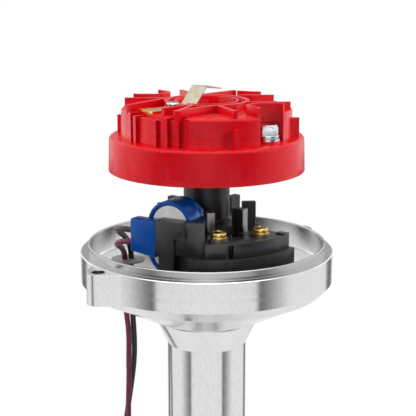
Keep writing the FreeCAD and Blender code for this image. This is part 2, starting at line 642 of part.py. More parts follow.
def rotor_top():
    """Rings, walls and ribs that stand on the rotor's roof, most of them the same on both sides."""
    z0, z1 = TURRET_TOP_Z - 0.5, RIB_TOP_Z
    parts = [ring(WELL_R + 0.9, WELL_R, z0, z1), ring(15.5, 13.9, z0, z1)]
    for start, end in (
        ((-10.9, -27.6), (4.0, -13.6)),
        ((4.0, -13.8), (9.8, -28.6)),
        ((14.8, -5.5), (30.0, -5.5)),
    ):
        wall = bar(start, end, 1.5, z0, z1)
        parts += [wall, opposite(wall)]
    for start, end in (
        ((-27.7, -13.2), (-13.0, 7.9)),
        ((-10.3, -28.6), (-5.2, -14.2)),
        ((11.9, 25.6), (20.5, 22.2)),
        ((11.4, 13.0), (25.0, 13.6)),
        ((-15.1, -21.4), (-3.4, -9.6)),
    ):
        parts.append(bar(start, end, 1.5, z0, z1))
    top = parts[0].fuse(parts[1:])
    channel = turned(box(5.0, 33.0, -3.4, 3.4, TURRET_TOP_Z, RIB_TOP_Z + 5), TIP_AZIMUTH)
    rim = pocket(1.2, z0, POCKET_RIM_Z).cut(pocket(0.0, z0 - 1, POCKET_RIM_Z + 1))
    rim = rim.common(box(POCKET_X[0] - 6, POCKET_X[1] + 0.4, -26.0, 0, z0, POCKET_RIM_Z))
    rim = rim.common(cylinder(TURRET_R - 0.3, z0, POCKET_RIM_Z))
    top = top.common(cylinder(TURRET_R - 0.1, z0, z1))
    return top.cut(channel).fuse([rim, opposite(rim)])


def rotor_body():
    """Round moulded rotor: skirt, deck, hollow turret with two bolt pockets, well, walls and fins."""
    body = revolved([
        (0, SKIRT_BOTTOM_Z),
        (SKIRT_R, SKIRT_BOTTOM_Z),
        (SKIRT_TOP_R, DECK_Z),
        (TURRET_R, DECK_Z),
        (TURRET_R, TURRET_TOP_Z),
        (0, TURRET_TOP_Z),
    ])
    body = body.makeFillet(1.4, edges_on(body, SKIRT_TOP_R, DECK_Z) + edges_on(body, TURRET_R, TURRET_TOP_Z))
    inner_r = TURRET_R - TURRET_WALL
    body = body.cut([
        cylinder(SKIRT_R - SKIRT_WALL, SKIRT_BOTTOM_Z - 1, PLATE_TOP_Z),
        cylinder(inner_r, PLATE_TOP_Z - 1, TURRET_TOP_Z - TURRET_ROOF),
        sector(TURRET_R + 1, TURRET_R - 1.3, DECK_Z, TURRET_TOP_Z + 3, PANEL_START, PANEL_END),
        sector(TURRET_R + 1, TURRET_R - 4.2, TURRET_TOP_Z - 1.2, TURRET_TOP_Z + 3, PANEL_START, PANEL_END),
    ])
    inside = cylinder(inner_r + 0.5, PLATE_TOP_Z, TURRET_TOP_Z)
    walls = pocket(2.0, PLATE_TOP_Z, TURRET_TOP_Z).common(inside)
    cup = cylinder(WELL_R + 1.8, TURRET_TOP_Z - WELL_DEPTH + 0.3, TURRET_TOP_Z - 0.1)
    body = joined(body, [walls, opposite(walls), cup, rotor_top()] + panel_fins())
    void = pocket(0.0, DECK_Z, POCKET_RIM_Z + 1)
    seat = cylinder(BOLT_R + 2.3, DECK_Z - 0.5, POCKET_FLOOR_Z, BOLT_X, BOLT_Y)
    tower_screw = polar(14.9, TIP_AZIMUTH)
    body = joined(without(body, [void, opposite(void)]), [seat, opposite(seat)])
    cuts = [cylinder(WELL_R, RIB_TOP_Z - WELL_DEPTH, RIB_TOP_Z + 5)]
    cuts += [cylinder(BOLT_R + SCREW_CLEARANCE, PLATE_TOP_Z - 1, DECK_Z + 3, side * BOLT_X, side * BOLT_Y)
             for side in (1, -1)]
    cuts.append(cylinder(1.5, TURRET_TOP_Z - TURRET_ROOF - 1, TURRET_TOP_Z + 1, *tower_screw))
    fins = []
    for azimuth, z_top in ((-71.3, RIM_Z + 46.3), (-6.0, RIM_Z + 46.5), (167.0, RIM_Z + 46.0)):
        fin = box(TURRET_R - 0.6, TURRET_R + 2.6, -1.0, 1.0, DECK_Z - 1, z_top)
        fins.append(turned(fin, azimuth))
    add("rotor", joined(without(body, cuts), fins))


def panel_fins():
    """Upright fins across the sunk panel below the rotor tip, each with its own height."""
    fins = []
    for azimuth, drop in ((-150.6, 0.0), (-144.3, 0.7), (-125.5, 1.2), (-117.2, 0.3), (-109.2, -2.5), (-102.4, 0.2)):
        fin = box(TURRET_R - 4.7, TURRET_R, -0.8, 0.8, DECK_Z - 0.5, TURRET_TOP_Z - drop)
        fins.append(turned(fin, azimuth))
    return fins


def rotor_bolts():
    """Hexagon head bolt, split washer and flat washer at each pocket."""
    z = POCKET_FLOOR_Z
    hexagon = [polar(HEX_R, 60 * i + 10) for i in range(6)]
    for index, side in ((1, 1), (2, -1)):
        x, y = side * BOLT_X, side * BOLT_Y
        add("rotor_washer_%d" % index, ring(4.3, BOLT_R, z, z + 0.8, x, y))
        split = ring(4.0, BOLT_R, z + 0.8, z + 2.0, x, y)
        gap = bar((x, y), (x + 1.7, y - 4.5), 0.6, z, z + 3)
        add("rotor_lock_washer_%d" % index, split.cut(gap))
        head = prism([(x + side * px, y + side * py) for px, py in hexagon], z + 2.0, z + 5.6)
        crown = Part.makeCone(HEX_R + 0.9, HEX_R - 0.6, 4.0, V(x, y, z + 2.0))
        shank = cylinder(BOLT_R, PLATE_TOP_Z - PLATE_H - 2.0, z + 2.1, x, y)
        add("rotor_bolt_%d" % index, head.common(crown).fuse(shank))


def rotor_contacts():
    """Brass tip, its pan head screw and the spring strip that rises to the middle."""
    z = TURRET_TOP_Z
    half = TIP_HALF_WIDTH
    outline = [(11.0, -2.8), (20.5, -2.8), (22.5, -half), (TIP_LENGTH, -half),
               (TIP_LENGTH, half), (22.5, half), (20.5, 2.8), (11.0, 2.8)]
    tip = prism(outline, z, z + TIP_H)
    hole = cylinder(1.5, z - 1, z + 5, 14.9, 0)
    add("rotor_tip", turned(tip.cut(hole), TIP_AZIMUTH))
    low = z + TIP_H
    end_z = STRIP_FOLD_Z - 0.8
    path = [(17.2, low), (8.0, low), (3.2, STRIP_FOLD_Z), (-3.6, end_z)]
    thick = [(17.2, low + STRIP_H), (8.2, low + STRIP_H), (3.4, STRIP_FOLD_Z + STRIP_H), (-3.6, end_z + STRIP_H)]
    points = [V(r, -STRIP_WIDTH / 2, h) for r, h in path + thick[::-1]]
    strip = Part.Face(Part.makePolygon(points + points[:1])).extrude(V(0, STRIP_WIDTH, 0))
    beside = STRIP_TAB_WIDTH / 2
    corners = [box(9.2, 18, y0, y1, z, z + 3) for y0, y1 in ((-9, -beside), (beside, 9))]
    add("contact_spring", turned(strip.cut([hole] + corners), TIP_AZIMUTH))
    head_z = low + STRIP_H
    x, y = polar(14.9, TIP_AZIMUTH)
    head = cylinder(2.5, head_z, head_z + 1.5, x, y)
    head = head.makeFillet(0.8, [e for e in head.Edges if abs(e.BoundBox.ZMin - head_z - 1.5) < 0.01])
    slot = bar((x - 3, y + 1), (x + 3, y - 1), 0.7, head_z + 0.8, head_z + 3)
    add("tip_screw", head.cut(slot).fuse(cylinder(1.5, z - TURRET_ROOF - 0.6, head_z + 0.5, x, y)))


# Leads

def lead(points, name):
    """Round lead along straight runs joined by tangent arcs; prints the bend radii."""
    runs = [(b - a).Length for a, b in zip(points, points[1:])]
    edges = []
    at = points[0]
    radii = []
    for i in range(1, len(points) - 1):
        before = (points[i] - points[i - 1]).normalize()
        after = (points[i + 1] - points[i]).normalize()
        turn = before.getAngle(after)
        reach = 0.45 * min(runs[i - 1], runs[i])
        radii.append(reach / math.tan(turn / 2))
        start = points[i] - before * reach
        end = points[i] + after * reach
        inward = (after - before).normalize()
        centre = points[i] + inward * (radii[-1] / math.cos(turn / 2))
        middle = centre - inward * radii[-1]
        edges.append(Part.makeLine(at, start))
        edges.append(Part.Arc(start, middle, end).toShape())
        at = end
    edges.append(Part.makeLine(at, points[-1]))
    spine = Part.Wire(edges)
    first = (points[1] - points[0]).normalize()
    profile = Part.Wire([Part.Edge(Part.Circle(points[0], first, LEAD_R))])
    tube = spine.makePipeShell([profile], True, False)
    print(name, "length %.0f" % spine.Length, "bend radii", ["%.1f" % r for r in radii],
          "volume ratio %.3f" % (tube.Volume / (spine.Length * math.pi * LEAD_R ** 2)))
    add(name, tube)
    return points[-1]


def leads():
    """Grommet, the pickup's two leads and the two-way connector at their lower end."""
    violet_x, violet_y = GROMMET_X - 1.15, GROMMET_Y - 0.7
    black_x, black_y = GROMMET_X + 1.15, GROMMET_Y + 0.7
    stem_bottom = RIM_Z - 27.0
    holes = [cylinder(LEAD_R, stem_bottom - 1, FLOOR_Z + 5, x, y)
             for x, y in ((violet_x, violet_y), (black_x, black_y))]
    stem = cylinder(GROMMET_STEM_R, stem_bottom, FLOOR_Z + 0.1, GROMMET_X, GROMMET_Y)
    disc = cylinder(GROMMET_R, FLOOR_Z, FLOOR_Z + GROMMET_H, GROMMET_X, GROMMET_Y)
    add("grommet", disc.fuse(stem).cut(holes))
    exit_dir = V(*polar(1, COIL_AZIMUTH - 90), 0)
    face = V(*polar(COIL_OUTER + 3.2, COIL_AZIMUTH), 0) + exit_dir * (LEAD_BLOCK_SIDE + 0.05)
    black_start = V(face.x, face.y, RIM_Z + 8.7)
    violet_start = V(face.x, face.y, RIM_Z + 4.7)
    end_z = -112.0
    black_end = lead([
        black_start,
        V(-31.0, -16.0, RIM_Z + 8.7),
        V(-32.6, -7.8, RIM_Z + 5.6),
        V(black_x - 1.25, black_y - 6.6, RIM_Z + 1.0),
        V(black_x, black_y - 0.2, RIM_Z - 5.0),
        V(black_x, black_y, RIM_Z - 30.0),
        V(black_x + 1.6, black_y, 28.0),
        V(black_x - 2.6, black_y - 0.2, -8.0),
        V(GROMMET_X + 1.7, GROMMET_Y, -60.0),
        V(GROMMET_X + 1.5, GROMMET_Y, end_z),
    ], "black_lead")
    violet_end = lead([
        violet_start,
        V(-31.2, -16.4, RIM_Z + 3.9),
        V(-33.0, -8.0, RIM_Z + 0.3),
        V(violet_x - 0.65, violet_y - 7.2, RIM_Z - 2.3),
        V(violet_x, violet_y, RIM_Z - 6.8),
        V(violet_x, violet_y - 0.1, RIM_Z - 32.0),
        V(violet_x + 1.4, violet_y - 1.4, 28.0),
        V(violet_x + 0.8, violet_y - 2.6, -8.0),
        V(GROMMET_X - 1.7, GROMMET_Y - 0.4, -60.0),
        V(GROMMET_X - 1.5, GROMMET_Y, end_z),
    ], "violet_lead")
    x, y = (black_end.x + violet_end.x) / 2, black_end.y
    shell = box(x - 4.6, x + 4.6, y - 3.2, y + 3.2, end_z - 24, end_z)
    collar = box(x - 5.6, x + 5.6, y - 4.2, y + 4.2, end_z - 10, end_z - 7)
    latch = box(x - 1.8, x + 1.8, y - 5.0, y - 3.0, end_z - 20, end_z - 9)
    mouths = [box(cx - 1.3, cx + 1.3, y - 1.3, y + 1.3, end_z - 25, end_z - 14) for cx in (x - 1.9, x + 1.9)]
    add("connector_shell", shell.fuse([collar, latch]).cut(mouths))
    pins = [cylinder(0.8, end_z - 22, end_z - 14, cx, y) for cx in (x - 1.9, x + 1.9)]
    add("connector_pin_1", pins[0])
    add("connector_pin_2", pins[1])


def main():
    housing()
    bushings()
    gear_bottom, pin_hole = gear()
    shaft(gear_bottom, pin_hole)
    advance()
    reluctor()
    coil()
    pickup()
    rotor_body()
    rotor_bolts()
    rotor_contacts()
    leads()
    os.makedirs("parts", exist_ok=True)
    for name, shape in NODES.items():
        if not shape.isValid() or len(shape.Solids) != 1:
            print("check", name, "valid", shape.isValid(), "solids", len(shape.Solids))
        shape.exportStep("parts/%s.step" % name)
    print(len(NODES), "nodes")


main()
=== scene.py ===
import json
import math

import bmesh
import bpy
from mathutils import Matrix, Vector

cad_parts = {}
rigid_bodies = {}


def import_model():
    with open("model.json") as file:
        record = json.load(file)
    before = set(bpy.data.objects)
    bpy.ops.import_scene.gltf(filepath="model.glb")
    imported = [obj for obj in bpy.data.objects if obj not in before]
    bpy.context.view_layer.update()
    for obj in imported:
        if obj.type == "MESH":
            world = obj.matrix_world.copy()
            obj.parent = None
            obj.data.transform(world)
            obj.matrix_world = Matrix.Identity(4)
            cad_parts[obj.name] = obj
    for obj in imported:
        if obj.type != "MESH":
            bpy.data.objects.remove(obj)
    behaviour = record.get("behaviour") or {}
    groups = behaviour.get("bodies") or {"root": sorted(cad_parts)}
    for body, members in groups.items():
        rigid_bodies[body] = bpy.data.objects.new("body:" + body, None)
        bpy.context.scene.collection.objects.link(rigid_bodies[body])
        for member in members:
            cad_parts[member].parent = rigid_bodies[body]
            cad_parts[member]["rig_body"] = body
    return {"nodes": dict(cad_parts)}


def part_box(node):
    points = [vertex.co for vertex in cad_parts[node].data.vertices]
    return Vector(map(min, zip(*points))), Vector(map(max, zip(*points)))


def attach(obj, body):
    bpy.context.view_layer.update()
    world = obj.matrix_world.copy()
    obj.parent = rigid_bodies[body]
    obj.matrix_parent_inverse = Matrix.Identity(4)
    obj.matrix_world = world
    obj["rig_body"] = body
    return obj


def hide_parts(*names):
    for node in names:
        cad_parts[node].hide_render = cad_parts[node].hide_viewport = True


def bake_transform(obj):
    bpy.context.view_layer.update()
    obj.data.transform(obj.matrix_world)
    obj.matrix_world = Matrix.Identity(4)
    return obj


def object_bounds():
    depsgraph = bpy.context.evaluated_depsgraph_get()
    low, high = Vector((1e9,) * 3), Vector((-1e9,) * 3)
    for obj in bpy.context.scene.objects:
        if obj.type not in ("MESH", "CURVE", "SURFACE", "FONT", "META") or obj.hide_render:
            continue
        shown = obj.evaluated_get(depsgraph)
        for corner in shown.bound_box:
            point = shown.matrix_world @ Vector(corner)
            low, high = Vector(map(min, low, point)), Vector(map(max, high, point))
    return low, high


bl_info = {
    "name": "Ignition distributor",
    "version": (1, 0, 0),
    "blender": (4, 5, 0),
    "location": "3D View > Sidebar > Distributor",
    "description": "Dresses the distributor's frame with its finishes, leads, springs and studio",
    "category": "Object",
}

# Metres, in the frame's own axes: Z up the shaft, -Y towards the camera, Z = 0 at the flange seat.
MM = 0.001
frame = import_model()
NODES = frame["nodes"]
CAD_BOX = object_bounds()

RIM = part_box("housing")[1].z - MM       # the bowl's lip; the boss inside stands 1 mm over it


def linear(hex_colour):
    """sRGB hex digits as linear red, green and blue."""
    channels = [int(hex_colour[i:i + 2], 16) / 255 for i in (0, 2, 4)]
    return tuple(c / 12.92 if c <= 0.04045 else ((c + 0.055) / 1.055) ** 2.4 for c in channels)


def node(tree, kind, inputs=None, feeds=None, **settings):
    """Add a node with its settings, its input values or links, and the socket that it feeds."""
    made = tree.nodes.new(kind)
    for name, value in settings.items():
        setattr(made, name, value)
    for name, value in (inputs or {}).items():
        if isinstance(value, bpy.types.Node):
            value = value.outputs[0]
        if isinstance(value, bpy.types.NodeSocket):
            tree.links.new(value, made.inputs[name])
        else:
            made.inputs[name].default_value = value
    if feeds:
        tree.links.new(made.outputs[0], feeds[0].inputs[feeds[1]])
    return made


def surface(name, colour, roughness, metallic=0.0, more=None):
    """New material with one shader. Returns the material, its node tree and the shader."""
    material = bpy.data.materials.new(name)
    material.use_nodes = True
    tree = material.node_tree
    tree.nodes.clear()
    sockets = {"Base Color": (*colour, 1), "Roughness": roughness, "Metallic": metallic, **(more or {})}
    output = node(tree, "ShaderNodeOutputMaterial")
    shader = node(tree, "ShaderNodeBsdfPrincipled", sockets, feeds=(output, "Surface"))
    return material, tree, shader


# Surface patterns, shared by finishes that are made the same way

def cloud(tree, size, detail, stretch=(1, 1, 1)):
    """Noise with lumps of the given size, in the piece's own space."""
    place = node(tree, "ShaderNodeTexCoord").outputs["Object"]
    spread = node(tree, "ShaderNodeVectorMath", {0: place, 1: stretch}, operation="MULTIPLY")
    return node(tree, "ShaderNodeTexNoise", {"Vector": spread, "Scale": 1 / size, "Detail": detail})


def from_axis(tree):
    """Distance from the shaft axis, and height, of each point of a surface."""
    place = node(tree, "ShaderNodeTexCoord").outputs["Object"]
    plan = node(tree, "ShaderNodeVectorMath", {0: place, 1: (1, 1, 0)}, operation="MULTIPLY")
    radius = node(tree, "ShaderNodeVectorMath", {0: plan}, operation="LENGTH").outputs["Value"]
    return radius, node(tree, "ShaderNodeSeparateXYZ", {0: place}).outputs["Z"]


def relief(tree, shader, height, depth, edge):
    """Bump of the given depth, over edges rounded by the given radius."""
    bump = {"Height": height, "Distance": depth, "Strength": 1.0}
    if edge:
        bump["Normal"] = node(tree, "ShaderNodeBevel", {"Radius": edge}, samples=4)
    node(tree, "ShaderNodeBump", bump, feeds=(shader, "Normal"))


def tone(tree, shader, size, dark, light, stretch=(1, 1, 1)):
    """Slow change between two colours over the given size."""
    level = node(tree, "ShaderNodeMapRange", {0: cloud(tree, size, 4.0, stretch), 1: 0.3, 2: 0.7})
    mix = node(tree, "ShaderNodeMix", {0: level, 6: (*dark, 1), 7: (*light, 1)}, data_type="RGBA")
    tree.links.new(mix.outputs[2], shader.inputs["Base Color"])


def sheen(tree, shader, size, low, high, stretch=(1, 1, 1)):
    """Patches where the surface is a little smoother or duller."""
    patches = cloud(tree, size, 3.0, stretch)
    node(tree, "ShaderNodeMapRange", {0: patches, 1: 0.35, 2: 0.65, 3: low, 4: high},
         feeds=(shader, "Roughness"))


def grain(tree, shader, size, depth, stretch=(1, 1, 1), edge=0.0):
    """Relief of grains of one size, over edges rounded by the given radius."""
    relief(tree, shader, cloud(tree, size, 2.0, stretch), depth, edge)


def lathe_marks(tree, shader, pitch, depth, low, high, edge=0.0):
    """Rings round the shaft axis: fine grooves, and bands of sheen about eight rings wide. Height counts
    for more than radius, so that a chamfer of 45 degrees has rings too."""
    radius, height = from_axis(tree)
    along = node(tree, "ShaderNodeMath", {0: height, 1: 1.3, 2: radius}, operation="MULTIPLY_ADD")
    groove = node(tree, "ShaderNodeTexNoise", {"W": along, "Scale": 1 / pitch, "Detail": 2.0},
                  noise_dimensions="1D")
    band = node(tree, "ShaderNodeTexNoise", {"W": along, "Scale": 0.12 / pitch, "Detail": 3.0},
                noise_dimensions="1D")
    relief(tree, shader, groove, depth, edge)
    node(tree, "ShaderNodeMapRange", {0: band, 1: 0.3, 2: 0.7, 3: low, 4: high}, feeds=(shader, "Roughness"))
    node(tree, "ShaderNodeTangent", feeds=(shader, "Tangent"), direction_type="RADIAL", axis="Z")


# Metals

def billet_aluminium():
    """Wrought aluminium bar, turned all over and buffed outside: bright, with fine rings that draw
    highlights out along the shaft. The bowl's inside is left as turned, so it is duller, and the lip and
    shoulder are duller still. Both are also painted a darker grey, the lip and shoulder fully and the inside
    in part: painted shade. The feed of 0.15 mm is too fine to see at this distance, so the rings are 0.5 mm
    apart."""
    material, tree, shader = surface("billet_aluminium_turned", linear("EDEDED"), 0.15, 1.0,
                                     {"Anisotropic": 0.25})
    tone(tree, shader, 0.6 * MM, linear("E8E8E8"), linear("F2F2F1"), (1, 1, 0.3))
    lathe_marks(tree, shader, 0.5 * MM, 0.0015 * MM, 0.12, 0.17, edge=0.25 * MM)

    # The duller surfaces, and the painted shade on them, lie inside the shoulder's outer edge and above this
    # height
    bore, shoulder_edge, lowest = 43.1 * MM, 46.3 * MM, RIM - 10 * MM
    wall_shade_and_dullness, lip_shade_and_dullness, added_roughness = 0.4, 1.0, 0.1
    radius, height = from_axis(tree)
    radial_shade_and_dullness = node(tree, "ShaderNodeMapRange", {0: radius, 1: bore, 2: bore + 0.1 * MM,
                                             3: wall_shade_and_dullness, 4: lip_shade_and_dullness})
    within = node(tree, "ShaderNodeMath", {0: radius, 1: shoulder_edge}, operation="LESS_THAN")
    high = node(tree, "ShaderNodeMath", {0: height, 1: lowest}, operation="GREATER_THAN")
    inside = node(tree, "ShaderNodeMath", {0: within, 1: high}, operation="MULTIPLY")
    dull_and_shaded = node(tree, "ShaderNodeMath", {0: radial_shade_and_dullness, 1: inside}, operation="MULTIPLY")
    polish = shader.inputs["Roughness"].links[0].from_socket
    node(tree, "ShaderNodeMath", {0: dull_and_shaded, 1: added_roughness, 2: polish}, operation="MULTIPLY_ADD",
         feeds=(shader, "Roughness"))
    # Painted shade: the colour of the bowl's inside, lip and shoulder is mixed towards a darker grey
    buffed = shader.inputs["Base Color"].links[0].from_socket
    colour = node(tree, "ShaderNodeMix", {0: dull_and_shaded, 6: buffed, 7: (*linear("C9C9C9"), 1)}, data_type="RGBA")
    tree.links.new(colour.outputs[2], shader.inputs["Base Color"])
    return material


def sintered_bronze():
    """Pressed and sintered bronze soaked with oil: dull gold brown with open pores of about 0.1 mm, drawn
    at 0.3 mm."""
    material, tree, shader = surface("bronze_sintered", linear("A67C4A"), 0.45, 1.0)
    tone(tree, shader, 1.5 * MM, linear("8C6638"), linear("B48A55"))
    grain(tree, shader, 0.3 * MM, 0.01 * MM)
    return material


def nitrile_rubber():
    """Moulded nitrile: near black, satin, with a faint bloom."""
    material, tree, shader = surface("nitrile_rubber_moulded", linear("1B1B1C"), 0.42)
    tone(tree, shader, 3 * MM, linear("161617"), linear("262627"))
    grain(tree, shader, 0.4 * MM, 0.01 * MM)
    return material


def ground_steel():
    """Hardened steel, ground between centres: bright grey with very fine rings round the axis."""
    material, tree, shader = surface("steel_ground", linear("B4B6B9"), 0.22, 1.0, {"Anisotropic": 0.4})
    tone(tree, shader, 6 * MM, linear("A6A8AC"), linear("BFC0C2"))
    lathe_marks(tree, shader, 0.3 * MM, 0.002 * MM, 0.16, 0.28, edge=0.15 * MM)
    return material


def nitrided_iron():
    """Cast iron gear, hobbed and nitrided: charcoal grey with a brownish cast and lighter patches."""
    material, tree, shader = surface("cast_iron_nitrided", linear("4C4A48"), 0.42, 0.9)
    tone(tree, shader, 4 * MM, linear("3B3A39"), linear("605D59"))
    grain(tree, shader, 0.5 * MM, 0.02 * MM, (1, 1, 4), edge=0.2 * MM)
    return material


def spring_steel():
    """Drawn spring wire: mid grey with the fine grain of the die."""
    material, tree, shader = surface("spring_wire_drawn", linear("8F9194"), 0.3, 1.0)
    sheen(tree, shader, 1 * MM, 0.24, 0.4)
    grain(tree, shader, 0.25 * MM, 0.003 * MM)
    return material


def black_oxide_steel():
    """Turned steel with a hot black oxide: oily charcoal, with the turning rings still in it."""
    material, tree, shader = surface("steel_black_oxide", linear("26262A"), 0.36, 0.3)
    tone(tree, shader, 5 * MM, linear("1D1D20"), linear("37373A"))
    lathe_marks(tree, shader, 0.35 * MM, 0.004 * MM, 0.3, 0.44, edge=0.2 * MM)
    return material


def clear_zinc():
    """Zinc plate with a clear passivate: bright silver with a cool, faintly blue tinge."""
    material, tree, shader = surface("zinc_plate_clear", linear("CDD4DA"), 0.2, 1.0)
    tone(tree, shader, 2 * MM, linear("BEC7CE"), linear("DCE2E6"))
    grain(tree, shader, 0.3 * MM, 0.003 * MM, edge=0.05 * MM)
    return material


def yellow_zinc():
    """Zinc plate with a yellow chromate: straw gold that turns greenish and rosy in patches, as a thin
    oxide film of changing thickness does."""
    material, tree, shader = surface("zinc_plate_yellow_chromate", linear("D8B968"), 0.24, 1.0)
    film = cloud(tree, 1.4 * MM, 2.0)
    tint = node(tree, "ShaderNodeValToRGB", {"Fac": film}, feeds=(shader, "Base Color"))
    ramp = tint.color_ramp
    ramp.elements[0].position, ramp.elements[0].color = 0.32, (*linear("C98A6A"), 1)
    ramp.elements[1].position, ramp.elements[1].color = 0.68, (*linear("A9B56C"), 1)
    ramp.elements.new(0.5).color = (*linear("E3C272"), 1)
    node(tree, "ShaderNodeMapRange", {0: film, 3: 0.18, 4: 0.32}, feeds=(shader, "Roughness"))
    grain(tree, shader, 0.3 * MM, 0.004 * MM, edge=0.2 * MM)
    return material


def rolled_brass():
    """Stamped brass strip: clear yellow, satin from rolling."""
    material, tree, shader = surface("brass_rolled", linear("F3DA70"), 0.24, 1.0)
    tone(tree, shader, 3 * MM, linear("EBCB5C"), linear("F7E28C"))
    grain(tree, shader, 0.35 * MM, 0.003 * MM, (4, 1, 1), edge=0.15 * MM)
    return material


def nickel_strip():
    """Nickel silver spring strip: warm grey with fine lines from rolling."""
    material, tree, shader = surface("nickel_silver_strip", linear("DFD2B9"), 0.34, 1.0)
    tone(tree, shader, 3 * MM, linear("D3C5AA"), linear("E8DCC6"))
    grain(tree, shader, 0.3 * MM, 0.003 * MM, (1, 4, 1), edge=0.1 * MM)
    return material


def tinned_brass():
    """Tin plate on brass terminals: soft white silver."""
    material, tree, shader = surface("tin_plate", linear("C3C1BC"), 0.33, 1.0)
    sheen(tree, shader, 1 * MM, 0.28, 0.42)
    return material


def coated_reluctor():
    """Sintered iron dipped in black, with the inner and outer faces of its posts ground to size after it.
    The eye sees charcoal sides and tops, and pale grey faces with grinding lines up and down."""
    material, tree, shader = surface("sintered_iron_black_and_ground", linear("2C2C2E"), 0.4)
    outer_face, inner_face = 17.9 * MM, 13.3 * MM
    radius, _ = from_axis(tree)
    outer = node(tree, "ShaderNodeMapRange", {0: radius, 1: outer_face, 2: outer_face + 0.1 * MM})
    inner = node(tree, "ShaderNodeMapRange", {0: radius, 1: inner_face, 2: inner_face - 0.1 * MM})
    ground = node(tree, "ShaderNodeMath", {0: outer, 1: inner}, operation="MAXIMUM")
    patches = cloud(tree, 2.5 * MM, 4.0)
    black = node(tree, "ShaderNodeMix", {0: patches, 6: (*linear("1D1D1F"), 1), 7: (*linear("3A3A3D"), 1)},
                 data_type="RGBA").outputs[2]
    bright = node(tree, "ShaderNodeMix", {0: patches, 6: (*linear("8C8C8E"), 1), 7: (*linear("B2B2B4"), 1)},
                  data_type="RGBA").outputs[2]
    mix = node(tree, "ShaderNodeMix", {0: ground, 6: black, 7: bright}, data_type="RGBA")
    tree.links.new(mix.outputs[2], shader.inputs["Base Color"])
    tree.links.new(ground.outputs[0], shader.inputs["Metallic"])
    node(tree, "ShaderNodeMapRange", {0: ground, 3: 0.42, 4: 0.3}, feeds=(shader, "Roughness"))
    grain(tree, shader, 0.35 * MM, 0.006 * MM, (1, 1, 0.15), edge=0.2 * MM)
    return material


# Plastics and rubber

def red_polyester(colour):
    """Glass-filled thermoset polyester, compression moulded: deep even red with a wet gloss, faint flow
    marks and fibres that just show in the skin."""
    material, tree, shader = surface("polyester_glass_filled_red", colour, 0.27,
                                     more={"Specular IOR Level": 0.3})
    dark = tuple(c * 0.95 for c in colour)
    tone(tree, shader, 9 * MM, dark, colour, (1, 1, 2.5))
    sheen(tree, shader, 6 * MM, 0.24, 0.31, (1, 1, 3))
    grain(tree, shader, 0.7 * MM, 0.002 * MM)
    return material


def blue_nylon(colour, name):
    """Injection moulded nylon in strong blue: smooth, with a soft sheen."""
    material, tree, shader = surface(name, colour, 0.22, more={"Specular IOR Level": 0.35})
    tone(tree, shader, 4 * MM, tuple(c * 0.85 for c in colour), colour)
    sheen(tree, shader, 3 * MM, 0.18, 0.28)
    grain(tree, shader, 0.8 * MM, 0.005 * MM)
    return material


def black_nylon():
    """Glass-filled nylon from a spark-eroded mould: matt charcoal with a fine even grain of 0.2 mm, drawn
    at 0.45 mm."""
    material, tree, shader = surface("nylon_glass_filled_black", linear("212122"), 0.34,
                                     more={"Specular IOR Level": 0.75})
    tone(tree, shader, 8 * MM, linear("1C1C1D"), linear("2A2A2B"))
    sheen(tree, shader, 4 * MM, 0.3, 0.4)
    grain(tree, shader, 0.45 * MM, 0.012 * MM)
    return material


def darker_black_moulding():
    """Compression moulded base: a darker black than the nylon above it, and duller."""
    material, tree, shader = surface("black_moulded_darker", linear("171717"), 0.45)
    tone(tree, shader, 6 * MM, linear("131313"), linear("1E1E1E"))
    sheen(tree, shader, 3 * MM, 0.4, 0.52)
    grain(tree, shader, 0.6 * MM, 0.012 * MM)
    return material


def white_nylon():
    """Natural nylon bobbin: off-white, slightly translucent at its edges."""
    material, tree, shader = surface("nylon_natural", linear("DEDEDE"), 0.4,
                                     more={"Subsurface Weight": 0.15, "Subsurface Scale": 0.6 * MM})
    tone(tree, shader, 3 * MM, linear("D2D2D2"), linear("E8E8E7"))
    grain(tree, shader, 0.6 * MM, 0.006 * MM)
    return material


def red_acetal():
    """Small moulded bush in red acetal: waxy and even."""
    material, tree, shader = surface("acetal_red", linear("A8232B"), 0.35)
    tone(tree, shader, 1.5 * MM, linear("96202A"), linear("B02A32"))
    sheen(tree, shader, 1 * MM, 0.3, 0.42)
    return material


def ferrite():
    """Sintered ferrite magnet: dark grey, matt, ground on its faces."""
    material, tree, shader = surface("ferrite_sintered", linear("2F3032"), 0.5)
    tone(tree, shader, 1.5 * MM, linear("28292A"), linear("3B3C3D"))
    grain(tree, shader, 0.3 * MM, 0.01 * MM)
    return material


def grommet_rubber():
    """Soft grey silicone rubber, moulded: pale and matt."""
    material, tree, shader = surface("silicone_grey_moulded", linear("B9B9B8"), 0.5)
    tone(tree, shader, 3 * MM, linear("A9A9A8"), linear("C6C6C4"))
    grain(tree, shader, 0.5 * MM, 0.015 * MM)
    return material


def pvc_insulation(name, colour):
    """Extruded PVC over stranded wire: satin, with the strands just felt through it and soft streaks along
    it."""
    material, tree, shader = surface(name, colour, 0.34)
    tone(tree, shader, 4 * MM, tuple(c * 0.75 for c in colour), colour, (1, 1, 0.3))
    sheen(tree, shader, 3 * MM, 0.28, 0.42, (1, 1, 0.4))
    grain(tree, shader, 0.7 * MM, 0.012 * MM, (1, 1, 0.5))
    return material


def connector_nylon():
    """Injection moulded connector shell: black, semi-gloss, with faint sink marks."""
    material, tree, shader = surface("nylon_connector_black", linear("242527"), 0.34)
    tone(tree, shader, 5 * MM, linear("1E1F21"), linear("303133"))
    grain(tree, shader, 1.2 * MM, 0.01 * MM)
    return material


# Making pieces

def dress(material, *names):
    """Give carried-over pieces their finish."""
    for name in names:
        data = NODES[name].data
        data.materials.clear()
        data.materials.append(material)
        data.polygons.foreach_set("material_index", [0] * len(data.polygons))


def keep(piece, material, body, stands_for):
    """Put a new piece in the scene, on its body, in place of one of the frame's own. A piece that spans two
    bodies has None for its body here, and is left on neither."""
    bpy.context.collection.objects.link(piece)
    piece.data.materials.clear()
    piece.data.materials.append(material)
    if body:
        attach(piece, body)
    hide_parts(stands_for)


